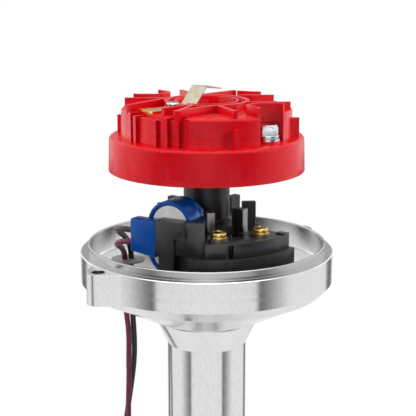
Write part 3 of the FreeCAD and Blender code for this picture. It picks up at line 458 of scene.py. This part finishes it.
def softened(name, material, radius, turn=0.0):
    """Copy of a frame piece with its edges rounded as its mould or die leaves them, and turned about its
    own upright axis by an angle in degrees. Stands for the piece."""
    weld, flat, sharp = 0.002 * MM, math.radians(0.6), math.radians(32)
    source = NODES[name]
    work = bmesh.new()
    work.from_mesh(source.data)
    bmesh.ops.remove_doubles(work, verts=work.verts, dist=weld)
    bmesh.ops.dissolve_limit(work, angle_limit=flat, verts=work.verts, edges=work.edges)
    if turn:
        low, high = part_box(name)
        bmesh.ops.rotate(work, cent=(low + high) / 2, matrix=Matrix.Rotation(math.radians(turn), 3, "Z"),
                         verts=work.verts)
    data = bpy.data.meshes.new(name + "_soft")
    work.to_mesh(data)
    work.free()
    data.shade_smooth()
    piece = bpy.data.objects.new(name + "_soft", data)
    keep(piece, material, source["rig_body"], name)
    rounding = piece.modifiers.new("Rounded edges", "BEVEL")
    rounding.width = radius
    rounding.segments = 2
    rounding.limit_method = "ANGLE"
    rounding.angle_limit = sharp
    rounding.harden_normals = True
    return piece


def spline_curve(name, points, radius):
    """Round wire or lead along one open NURBS spline through the space of its control points."""
    curve = bpy.data.curves.new(name, "CURVE")
    curve.dimensions = "3D"
    curve.bevel_depth = radius
    curve.bevel_resolution = 5
    curve.resolution_u = 10
    curve.use_fill_caps = True
    spline = curve.splines.new("NURBS")
    spline.points.add(len(points) - 1)
    for point, place in zip(spline.points, points):
        point.co = (*place, 1)
    spline.order_u = 3
    spline.use_endpoint_u = True
    return bpy.data.objects.new(name, curve)


def as_mesh(piece):
    """The piece's curve as a mesh of its own."""
    bpy.context.collection.objects.link(piece)
    bpy.context.view_layer.update()
    evaluated = piece.evaluated_get(bpy.context.evaluated_depsgraph_get())
    data = bpy.data.meshes.new_from_object(evaluated)
    name = piece.name
    bpy.data.objects.remove(piece)
    data.shade_smooth()
    return bpy.data.objects.new(name, data)


class DistributorSettings(bpy.types.PropertyGroup):
    """Sizes and colours that a user may want to change."""

    moulding_edge: bpy.props.FloatProperty(
        name="Moulding edge", description="Radius on the edges of moulded pieces",
        default=0.38 * MM, min=0.0, unit="LENGTH", precision=5)
    lead_diameter: bpy.props.FloatProperty(
        name="Lead diameter", description="Outside diameter of each pickup lead",
        default=2.1 * MM, min=0.5 * MM, unit="LENGTH", precision=5)
    spring_wire: bpy.props.FloatProperty(
        name="Spring wire", description="Diameter of the advance springs' wire",
        default=0.6 * MM, min=0.1 * MM, unit="LENGTH", precision=5)
    spring_turns: bpy.props.IntProperty(
        name="Spring turns", description="Turns in the barrel of each advance spring", default=9, min=3)
    rotor_colour: bpy.props.FloatVectorProperty(
        name="Rotor colour", description="Colour of the moulded rotor", subtype="COLOR",
        default=linear("D9061B"))
    coil_colour: bpy.props.FloatVectorProperty(
        name="Coil colour", description="Colour of the band round the pickup coil", subtype="COLOR",
        default=linear("004DA6"))
    violet_colour: bpy.props.FloatVectorProperty(
        name="Violet lead colour", description="Insulation of one pickup lead", subtype="COLOR",
        default=linear("741C45"))
    black_colour: bpy.props.FloatVectorProperty(
        name="Black lead colour", description="Insulation of the other pickup lead", subtype="COLOR",
        default=linear("222224"))
    front_angle: bpy.props.FloatProperty(
        name="Front light", description="Half angle of the light front of the studio, up to its dark strips",
        default=math.radians(45.5), subtype="ANGLE")


class DISTRIBUTOR_OT_housing(bpy.types.Operator):
    """Finish the turned housing and its seal ring"""

    bl_idname = "distributor.housing"
    bl_label = "Housing"

    def execute(self, context):
        dress(billet_aluminium(), "housing")
        dress(nitrile_rubber(), "seal_ring")
        return {"FINISHED"}


class DISTRIBUTOR_OT_bearings(bpy.types.Operator):
    """Finish the bushings, thrust washer and shims"""

    bl_idname = "distributor.bearings"
    bl_label = "Bearings"

    def execute(self, context):
        dress(sintered_bronze(), "upper_bushing", "lower_bushing", "thrust_washer")
        dress(ground_steel(), "gear_shims")
        return {"FINISHED"}


class DISTRIBUTOR_OT_drive(bpy.types.Operator):
    """Finish the main shaft, sleeve, drive gear, gear pin, cam and clip"""

    bl_idname = "distributor.drive"
    bl_label = "Shaft and gear"

    def execute(self, context):
        dress(ground_steel(), "main_shaft")
        dress(black_oxide_steel(), "sleeve", "advance_cam")
        dress(nitrided_iron(), "drive_gear")
        dress(spring_steel(), "gear_pin", "cam_clip")
        return {"FINISHED"}


class DISTRIBUTOR_OT_advance(bpy.types.Operator):
    """Finish the advance plate, weights, stop and pins, and wind the two springs"""

    bl_idname = "distributor.advance"
    bl_label = "Centrifugal advance"

    def execute(self, context):
        settings = context.scene.distributor
        dress(clear_zinc(), "advance_plate", "weight_1", "weight_2")
        dress(ground_steel(), "weight_pin_1", "weight_pin_2", "stop_stud")
        dress(red_acetal(), "stop_bushing")
        wire = spring_steel()
        for name in ("advance_spring_1", "advance_spring_2"):
            self.wind(name, wire, settings)
        return {"FINISHED"}

    def wind(self, name, wire, settings):
        """One tension spring: a loop on each post and a close-wound barrel between them. The two posts lie
        evenly about the middle of the frame's own spring."""
        pin_low, pin_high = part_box("weight_pin_" + name[-1])
        low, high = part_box(name)
        start = (pin_low + pin_high) / 2
        start.z = (low.z + high.z) / 2
        end = low + high - start
        radius = settings.spring_wire / 2
        coil_r = 1.5 * MM - radius      # inside a barrel 3 mm across
        loop_r = 1.1 * MM + radius      # round a post 2.2 mm across
        neck = 1.2 * MM                 # from each loop to the barrel
        per_turn = 12
        along = (end - start).normalized()
        up = Vector((0, 0, 1))
        side = along.cross(up)
        barrel = (end - start).length - 2 * (loop_r + neck)
        first = start + along * (loop_r + neck)
        loop = [math.pi * (k / 6 - 0.8) for k in range(11)]
        points = [start - along * loop_r * math.cos(a) + side * loop_r * math.sin(a) for a in loop]
        steps = per_turn * settings.spring_turns
        for k in range(steps + 1):
            a = math.tau * k / per_turn
            out = side * math.sin(a) + up * math.cos(a)
            points.append(first + along * barrel * k / steps + out * coil_r)
        points += [end + along * loop_r * math.cos(a) + side * loop_r * math.sin(a) for a in reversed(loop)]
        spring = as_mesh(spline_curve(name + "_wire", points, radius))
        keep(spring, wire, None, name)
        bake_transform(spring)


class DISTRIBUTOR_OT_reluctor(bpy.types.Operator):
    """Finish the eight-post reluctor"""

    bl_idname = "distributor.reluctor"
    bl_label = "Reluctor"

    def execute(self, context):
        dress(coated_reluctor(), "reluctor")
        return {"FINISHED"}


class DISTRIBUTOR_OT_coil(bpy.types.Operator):
    """Round and finish the pickup coil, its pole piece, magnet and lead block"""

    bl_idname = "distributor.coil"
    bl_label = "Pickup coil"

    def execute(self, context):
        settings = context.scene.distributor
        blue = blue_nylon(settings.coil_colour, "nylon_blue_coil_band")
        for name in ("coil_wrap", "coil_hood"):
            softened(name, blue, settings.moulding_edge)
        softened("lead_block", blue_nylon(settings.coil_colour, "nylon_blue_lead_block"),
                 1.5 * settings.moulding_edge)
        softened("coil_bobbin", white_nylon(), settings.moulding_edge)
        dress(clear_zinc(), "pole_piece")
        dress(ferrite(), "magnet")
        return {"FINISHED"}


class DISTRIBUTOR_OT_pickup_mount(bpy.types.Operator):
    """Round and finish the moulded base, clamp and bracket that hold the coil"""

    bl_idname = "distributor.pickup_mount"
    bl_label = "Pickup mount"

    def execute(self, context):
        black = black_nylon()
        edge = context.scene.distributor.moulding_edge
        for name in ("coil_bracket", "pickup_clamp"):
            softened(name, black, edge)
        softened("pickup_base", darker_black_moulding(), edge)
        return {"FINISHED"}


class DISTRIBUTOR_OT_pickup_screws(bpy.types.Operator):
    """Make the pickup's screws with their cross recess, and finish their washers"""

    bl_idname = "distributor.pickup_screws"
    bl_label = "Pickup screws"

    def execute(self, context):
        plated = yellow_zinc()
        steel = spring_steel()
        for index in ("_1", "_2"):
            self.pan_head("pickup_screw" + index, plated)
            softened("pickup_lock_washer" + index, plated, radius=0.3 * MM, turn=120)
            dress(steel, "pickup_washer" + index)
        return {"FINISHED"}

    def pan_head(self, name, material):
        """Screw with a domed head and a pressed cross recess, turned inside the box of the frame's own."""
        low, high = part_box(name)
        centre = (low + high) / 2
        head = (high.x - low.x) / 2
        head_height, head_bottom, shank = 1.72 * MM, high.z - 1.9 * MM, 0.68 * head
        recess_length, recess_width, recess_bottom = 0.48 * head, 0.14 * head, high.z - 0.9 * MM

        # Radius and height of each ring: the crown, close enough for the recess to be pressed into it, then
        # the shoulder in shares of the head's radius and height, and then the shank
        shoulder = [(0.55, -0.05), (0.75, -0.16), (0.9, -0.34), (0.98, -0.56), (1.0, -0.8), (0.96, -1.0),
                    (0.85, -1.1)]
        rings = [(head * 0.05 * k, high.z - 0.002 * k * k * MM) for k in range(1, 11)]
        rings += [(head * r, high.z + z * head_height) for r, z in shoulder]
        rings += [(shank, head_bottom), (shank, low.z)]
        work = bmesh.new()
        top = work.verts.new((centre.x, centre.y, recess_bottom))
        before = None
        steps = 72
        for radius, z in rings:
            ring = []
            for k in range(steps):
                x, y = radius * math.cos(math.tau * k / steps), radius * math.sin(math.tau * k / steps)
                near, far = sorted((abs(x), abs(y)))
                pressed = near < recess_width and far < recess_length
                ring.append(work.verts.new((centre.x + x, centre.y + y, recess_bottom if pressed else z)))
            for k in range(steps):
                after = (k + 1) % steps
                if before:
                    work.faces.new((before[k], ring[k], ring[after], before[after]))
                else:
                    work.faces.new((top, ring[k], ring[after]))
            before = ring
        work.faces.new(before[::-1])
        bmesh.ops.recalc_face_normals(work, faces=work.faces)
        data = bpy.data.meshes.new(name + "_domed")
        work.to_mesh(data)
        work.free()
        data.shade_smooth()
        keep(bpy.data.objects.new(name + "_domed", data), material, "housing", name)


class DISTRIBUTOR_OT_rotor(bpy.types.Operator):
    """Round and finish the moulded rotor"""

    bl_idname = "distributor.rotor"
    bl_label = "Rotor"

    def execute(self, context):
        settings = context.scene.distributor
        softened("rotor", red_polyester(settings.rotor_colour), settings.moulding_edge)
        return {"FINISHED"}


class DISTRIBUTOR_OT_rotor_bolts(bpy.types.Operator):
    """Finish the rotor's bolts and washers"""

    bl_idname = "distributor.rotor_bolts"
    bl_label = "Rotor bolts"

    def execute(self, context):
        plated = clear_zinc()
        for index in ("_1", "_2"):
            softened("rotor_bolt" + index, plated, radius=0.1 * MM, turn=-13)
            softened("rotor_lock_washer" + index, plated, radius=0.3 * MM, turn=100)
            dress(plated, "rotor_washer" + index)
        return {"FINISHED"}


class DISTRIBUTOR_OT_contacts(bpy.types.Operator):
    """Finish the rotor tip, its screw and the contact spring"""

    bl_idname = "distributor.contacts"
    bl_label = "Rotor contacts"

    def execute(self, context):
        dress(rolled_brass(), "rotor_tip")
        dress(nickel_strip(), "contact_spring")
        dress(clear_zinc(), "tip_screw")
        return {"FINISHED"}


class DISTRIBUTOR_OT_leads(bpy.types.Operator):
    """Lay the two pickup leads from the coil through the grommet to their connector"""

    bl_idname = "distributor.leads"
    bl_label = "Leads"

    def execute(self, context):
        settings = context.scene.distributor
        edge = settings.moulding_edge
        dress(grommet_rubber(), "grommet")
        shell = softened("connector_shell", connector_nylon(), edge)
        dress(tinned_brass(), "connector_pin_1", "connector_pin_2")
        black = [
            (-25.99, -19.65, 98.7), (-31.0, -16.0, 98.7), (-32.6, -7.8, 95.6), (-29.9, 1.0, 91.0),
            (-28.65, 7.4, 85.0), (-28.65, 7.55, 78.0), (-28.65, 7.6, 64.0), (-27.9, 7.8, 51.0),
            (-27.9, 8.1, 42.0), (-28.9, 8.5, 33.0), (-30.1, 8.7, 25.0), (-31.8, 8.7, 14.0),
            (-32.6, 8.5, -4.0), (-30.6, 8.8, -30.0), (-28.4, 8.2, -56.0), (-28.1, 6.9, -84.0),
            (-28.3, 6.9, -112.0)]
        violet = [
            (-25.99, -19.65, 94.7), (-31.2, -16.4, 93.9), (-33.0, -8.0, 90.3), (-31.6, -1.0, 87.7),
            (-30.95, 6.2, 83.2), (-30.95, 6.2, 78.0), (-30.95, 6.2, 62.0), (-29.75, 6.0, 52.0),
            (-30.0, 5.6, 42.0), (-30.0, 5.3, 33.0), (-30.4, 5.0, 24.0), (-30.4, 4.8, 12.0),
            (-30.5, 4.7, -6.0), (-30.9, 4.9, -30.0), (-31.5, 5.8, -56.0), (-31.4, 6.9, -84.0),
            (-31.3, 6.9, -112.0)]
        black_length, violet_length = 0.231, 0.226      # metres, from the lead block to the plug
        self.lay("black_lead", black, black_length, pvc_insulation("pvc_black", settings.black_colour),
                 "black_insulation", settings, [shell, NODES["connector_pin_1"]])
        self.lay("violet_lead", violet, violet_length, pvc_insulation("pvc_violet", settings.violet_colour),
                 "violet_insulation", settings, [NODES["connector_pin_2"]])
        return {"FINISHED"}

    def lay(self, name, route, length, material, slot, settings, on_it):
        """One lead along its route in millimetres. The pieces at its far end, given as on_it, are not used.
        """
        points = [Vector(p) * MM for p in route]
        wire = spline_curve(name + "_wire", points, settings.lead_diameter / 2)
        keep(wire, material, "housing", name)


class DISTRIBUTOR_OT_stage(bpy.types.Operator):
    """Set the camera, the floor, the lamps and the studio that metal mirrors"""

    bl_idname = "distributor.stage"
    bl_label = "Stage"

    def execute(self, context):
        scene = context.scene
        scene.view_settings.view_transform = "Standard"
        self.camera(scene)
        self.floor(scene)
        self.lamp(scene, "left", Vector((-1.05, -0.42, 0.5)), size=0.7, watts=8.1)
        self.lamp(scene, "right", Vector((1.05, -0.36, 0.5)), size=0.7, watts=8.1)
        self.lamp(scene, "overhead", Vector((0.0, 0.1, 1.2)), size=0.8, watts=7.0)
        self.studio(scene, scene.distributor.front_angle)
        return {"FINISHED"}

    def camera(self, scene):
        """Camera in front of the part and a little above it, as found from the rings that the photograph
        shows."""
        data = bpy.data.cameras.new("camera")
        data.lens = 104.05
        data.sensor_width = 36
        camera = bpy.data.objects.new("camera", data)
        camera.location = (0.0005, -0.43298, 0.20116)
        camera.rotation_euler = (math.radians(77.135), 0, 0)
        scene.collection.objects.link(camera)
        scene.camera = camera

    def floor(self, scene):
        """Pale board under the part, that keeps its shadow and melts into the white behind it. Metal
        mirrors it a little darker."""
        place = Matrix.Translation((0, 0, CAD_BOX[0].z - 2 * MM))
        camera_glow, mirrored_glow = 0.4, 0.03
        work = bmesh.new()
        bmesh.ops.create_circle(work, cap_ends=True, segments=96, radius=0.45, matrix=place)
        data = bpy.data.meshes.new("floor")
        work.to_mesh(data)
        work.free()
        floor = bpy.data.objects.new("floor", data)
        scene.collection.objects.link(floor)
        material = bpy.data.materials.new("floor_matt_white")
        material.use_nodes = True
        tree = material.node_tree
        tree.nodes.clear()
        ray = node(tree, "ShaderNodeLightPath").outputs
        mirrored = node(tree, "ShaderNodeMath", {0: ray["Is Glossy Ray"], 1: mirrored_glow},
                        operation="MULTIPLY")
        lift = node(tree, "ShaderNodeMath", {0: ray["Is Camera Ray"], 1: camera_glow, 2: mirrored},
                    operation="MULTIPLY_ADD")
        shade = node(tree, "ShaderNodeMix", {0: ray["Is Glossy Ray"], 6: (*linear("EDEDED"), 1),
                                             7: (*linear("DCDCDC"), 1)}, data_type="RGBA").outputs[2]
        board = node(tree, "ShaderNodeBsdfDiffuse", {"Color": shade})
        glow = node(tree, "ShaderNodeEmission", {"Strength": lift})
        both = node(tree, "ShaderNodeAddShader", {0: board, 1: glow})
        node(tree, "ShaderNodeOutputMaterial", {"Surface": both})
        data.materials.append(material)

    def lamp(self, scene, name, place, size, watts):
        """Soft square lamp, aimed at the middle of the bowl's rim, that gloss doesn't mirror."""
        data = bpy.data.lights.new(name, "AREA")
        data.size = size
        data.energy = watts
        lamp = bpy.data.objects.new(name, data)
        lamp.location = place
        aim = Vector((0, 0, RIM)) - place
        lamp.rotation_euler = aim.to_track_quat("-Z", "Y").to_euler()
        lamp.visible_glossy = False
        scene.collection.objects.link(lamp)

    def studio(self, scene, edge):
        """White behind the part. Metal mirrors a pale table that darkens at an angle from the front and
        then grows light again, with a darker strip on each side of the back. Gloss mirrors a soft box in
        front, one at each side, and a roof that is brighter on the camera's side. All of it is placed by
        direction: angles round the shaft from the front, in radians, and heights as the sine of the angle
        above level."""
        strip = 2.6                             # where the darker strips at the back lie
        beside_low, beside_high = 0.05, 1.0     # the table, from its dark edge to its sides
        front_box, side_box, behind_box = 1.5, 1.2, -0.7
        table_level, roof_level, roof_front = 0.86, 0.85, 1.3
        fill_front, fill_side = 0.12, 0.56      # what matt surfaces get from the front and the sides

        world = bpy.data.worlds.new("studio")
        scene.world = world
        world.use_nodes = True
        tree = world.node_tree
        tree.nodes.clear()
        ray = node(tree, "ShaderNodeLightPath").outputs
        direction = node(tree, "ShaderNodeTexCoord").outputs["Generated"]
        way = node(tree, "ShaderNodeSeparateXYZ", {0: direction}).outputs
        front = node(tree, "ShaderNodeMath", {0: way["Y"], 1: -1.0}, operation="MULTIPLY")
        turn = node(tree, "ShaderNodeMath", {0: way["X"], 1: front}, operation="ARCTAN2")
        around = node(tree, "ShaderNodeMath", {0: turn}, operation="ABSOLUTE")

        # The table, below level
        table = node(tree, "ShaderNodeMapRange", {0: around, 1: edge, 2: edge + 0.03, 3: 1.0, 4: 0.0})
        beside = node(tree, "ShaderNodeMapRange", {0: around, 1: edge, 2: edge + 0.6,
                                                   3: beside_low, 4: beside_high})
        table = node(tree, "ShaderNodeMath", {0: table, 1: beside}, operation="MAXIMUM")
        off = node(tree, "ShaderNodeMath", {0: around, 1: strip}, operation="SUBTRACT")
        off = node(tree, "ShaderNodeMath", {0: off}, operation="ABSOLUTE")
        back_strip = node(tree, "ShaderNodeMapRange", {0: off, 1: 0.12, 2: 0.22, 3: 0.2, 4: 1.0})
        table = node(tree, "ShaderNodeMath", {0: table, 1: back_strip}, operation="MULTIPLY")
        low = node(tree, "ShaderNodeMapRange", {0: way["Z"], 1: -0.25, 2: -0.2, 3: table_level, 4: 0.0})

        # The soft boxes, over the table
        soft_box = node(tree, "ShaderNodeMapRange", {0: around, 1: 0.0, 2: edge - 0.2,
                                                     3: front_box, 4: 0.0})
        sides = node(tree, "ShaderNodeMapRange", {0: around, 1: edge + 0.18, 2: edge + 0.75,
                                                  3: 0.0, 4: side_box})
        behind = node(tree, "ShaderNodeMapRange", {0: around, 1: strip, 2: strip + 0.25,
                                                   3: 0.0, 4: behind_box})
        boxes = node(tree, "ShaderNodeMath", {0: soft_box, 1: sides}, operation="ADD")
        boxes = node(tree, "ShaderNodeMath", {0: boxes, 1: behind}, operation="ADD")
        high = node(tree, "ShaderNodeMapRange", {0: way["Z"], 1: -0.23, 2: -0.17})
        boxes = node(tree, "ShaderNodeMath", {0: boxes, 1: high}, operation="MULTIPLY")
        walls = node(tree, "ShaderNodeMath", {0: table, 1: low, 2: boxes}, operation="MULTIPLY_ADD")

        # The roof, over the soft boxes
        above = node(tree, "ShaderNodeMapRange", {0: way["Z"], 1: 0.4, 2: 0.52})
        steep = node(tree, "ShaderNodeMapRange", {0: way["Z"], 1: 0.5, 2: 0.65, 3: 0.0, 4: roof_front})
        forward = node(tree, "ShaderNodeMapRange", {0: front, 1: -0.1, 2: 0.15})
        roof = node(tree, "ShaderNodeMath", {0: steep, 1: forward, 2: roof_level}, operation="MULTIPLY_ADD")
        over = node(tree, "ShaderNodeMix", {0: above, 2: walls, 3: roof}, data_type="FLOAT")

        # What each kind of ray meets
        fill = node(tree, "ShaderNodeMapRange", {0: around, 1: 0.4, 2: 1.4, 3: fill_front, 4: fill_side})
        glossy = node(tree, "ShaderNodeMix", {0: ray["Is Glossy Ray"], 2: fill, 3: over}, data_type="FLOAT")
        seen = node(tree, "ShaderNodeMath", {0: ray["Is Camera Ray"], 1: ray["Is Transmission Ray"]},
                    operation="MAXIMUM")
        level = node(tree, "ShaderNodeMix", {0: seen, 2: glossy, 3: 1.0}, data_type="FLOAT")
        background = node(tree, "ShaderNodeBackground", {"Color": (1, 1, 1, 1), "Strength": level})
        node(tree, "ShaderNodeOutputWorld", {"Surface": background})


class DISTRIBUTOR_PT_panel(bpy.types.Panel):
    """Every piece of the distributor and its stage"""

    bl_idname = "DISTRIBUTOR_PT_panel"
    bl_label = "Distributor"
    bl_space_type = "VIEW_3D"
    bl_region_type = "UI"
    bl_category = "Distributor"

    def draw(self, context):
        for name in DistributorSettings.__annotations__:
            self.layout.prop(context.scene.distributor, name)
        for operator in OPERATORS:
            self.layout.operator(operator.bl_idname)


OPERATORS = (
    DISTRIBUTOR_OT_stage,
    DISTRIBUTOR_OT_housing,
    DISTRIBUTOR_OT_bearings,
    DISTRIBUTOR_OT_drive,
    DISTRIBUTOR_OT_advance,
    DISTRIBUTOR_OT_reluctor,
    DISTRIBUTOR_OT_coil,
    DISTRIBUTOR_OT_pickup_mount,
    DISTRIBUTOR_OT_pickup_screws,
    DISTRIBUTOR_OT_rotor,
    DISTRIBUTOR_OT_rotor_bolts,
    DISTRIBUTOR_OT_contacts,
    DISTRIBUTOR_OT_leads,
)
CLASSES = (DistributorSettings, *OPERATORS, DISTRIBUTOR_PT_panel)


def register():
    for cls in CLASSES:
        bpy.utils.register_class(cls)
    bpy.types.Scene.distributor = bpy.props.PointerProperty(type=DistributorSettings)


def unregister():
    del bpy.types.Scene.distributor
    for cls in reversed(CLASSES):
        bpy.utils.unregister_class(cls)


def main():
    register()
    for operator in OPERATORS:
        group, name = operator.bl_idname.split(".")
        getattr(getattr(bpy.ops, group), name)()


if __name__ == "__main__":
    main()
